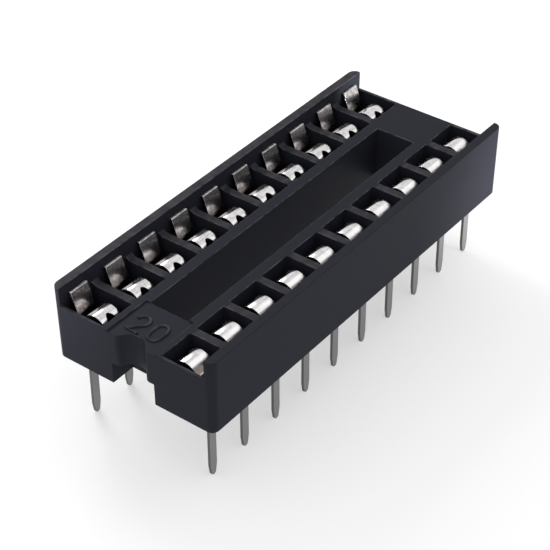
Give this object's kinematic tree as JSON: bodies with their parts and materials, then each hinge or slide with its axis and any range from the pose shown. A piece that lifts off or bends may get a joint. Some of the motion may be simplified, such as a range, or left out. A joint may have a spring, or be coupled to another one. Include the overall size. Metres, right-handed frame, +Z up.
{
  "type": "ic socket",
  "caption": "Through-hole dual-row IC socket: black moulded frame with an open centre and end notch, pocketed rows of dual-wipe stamped contacts with solder tails",
  "frame": {"origin": "centre of the pin grid on the underside of the housing, where the board lies", "axes": "+X along the rows from the notched end to the plain end, +Y across the rows, +Z up to the chip"},
  "size_m": [0.0254, 0.01, 0.0083],
  "materials": {
    "housing": "fine matte moulded thermoplastic, black",
    "contact": "bright tin plating on a stamped copper alloy strip"
  },
  "bodies": {
    "root": {"housing": "housing", "contact_01": "contact", "contact_02": "contact", "contact_03": "contact", "contact_04": "contact", "contact_05": "contact", "contact_06": "contact", "contact_07": "contact", "contact_08": "contact", "contact_09": "contact", "contact_10": "contact", "contact_11": "contact", "contact_12": "contact", "contact_13": "contact", "contact_14": "contact", "contact_15": "contact", "contact_16": "contact", "contact_17": "contact", "contact_18": "contact", "contact_19": "contact", "contact_20": "contact"}
  },
  "joints": []
}
